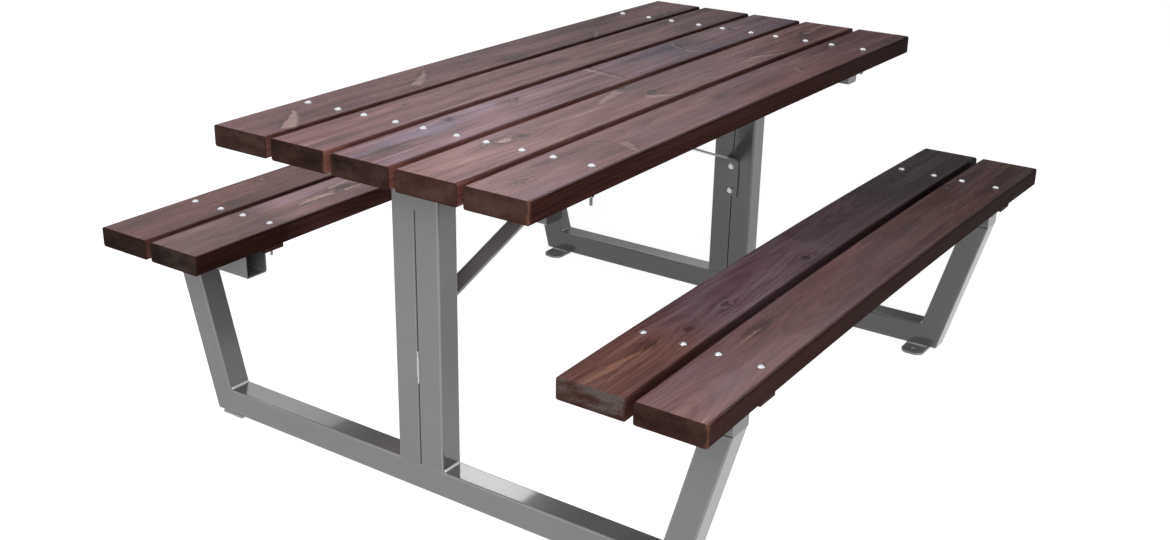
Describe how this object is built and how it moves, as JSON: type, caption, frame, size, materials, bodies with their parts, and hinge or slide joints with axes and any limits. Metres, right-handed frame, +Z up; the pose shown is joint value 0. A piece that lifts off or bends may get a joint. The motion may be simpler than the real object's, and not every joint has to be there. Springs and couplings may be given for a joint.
{
  "type": "picnic table",
  "caption": "Picnic table with fixed benches: dark stained wooden boards bolted to grey painted square-tube end frames with foot plates and flat diagonal braces",
  "frame": {"origin": "On the floor, under the centre of the table top", "axes": "X along the boards from the near end frame to the far one, Y across the table from the front bench to the back bench, Z up"},
  "size_m": [1.725, 1.53, 0.7785],
  "materials": {
    "stained_boards": "brown translucent stain on planed softwood, satin",
    "stained_battens": "dark brown stain, satin",
    "grey_paint": "mid-grey paint, semi-gloss, on welded square steel tube",
    "zinc_fasteners": "bright zinc plating"
  },
  "bodies": {
    "root": {"top_board_1": "stained_boards", "top_board_2": "stained_boards", "top_board_3": "stained_boards", "top_board_4": "stained_boards", "top_board_5": "stained_boards", "seat_board_1": "stained_boards", "seat_board_2": "stained_boards", "seat_board_3": "stained_boards", "seat_board_4": "stained_boards", "top_strip_near": "stained_battens", "top_strip_far": "stained_battens", "seat_strip_front_near": "stained_battens", "seat_strip_front_far": "stained_battens", "seat_strip_back_near": "stained_battens", "seat_strip_back_far": "stained_battens", "centre_batten": "stained_battens", "runner_near": "grey_paint", "runner_far": "grey_paint", "post_front_near": "grey_paint", "post_back_near": "grey_paint", "post_front_far": "grey_paint", "post_back_far": "grey_paint", "crossbar_near": "grey_paint", "crossbar_far": "grey_paint", "crossbar_caps": "grey_paint", "leg_front_near": "grey_paint", "leg_back_near": "grey_paint", "leg_front_far": "grey_paint", "leg_back_far": "grey_paint", "seat_bar_front_near": "grey_paint", "seat_bar_back_near": "grey_paint", "seat_bar_front_far": "grey_paint", "seat_bar_back_far": "grey_paint", "seat_bar_caps": "grey_paint", "foot_front_near": "grey_paint", "foot_back_near": "grey_paint", "foot_front_far": "grey_paint", "foot_back_far": "grey_paint", "brace_near": "grey_paint", "brace_far": "grey_paint", "brace_bolts": "zinc_fasteners", "brace_washers": "zinc_fasteners", "brace_screws": "zinc_fasteners", "top_bolts_near": "zinc_fasteners", "top_bolts_far": "zinc_fasteners", "seat_bolts_near": "zinc_fasteners", "seat_bolts_far": "zinc_fasteners", "top_washers_near": "zinc_fasteners", "top_washers_far": "zinc_fasteners", "seat_washers_near": "zinc_fasteners", "seat_washers_far": "zinc_fasteners", "top_nuts_near": "zinc_fasteners", "top_nuts_far": "zinc_fasteners", "seat_nuts_near": "zinc_fasteners", "seat_nuts_far": "zinc_fasteners"}
  },
  "joints": []
}
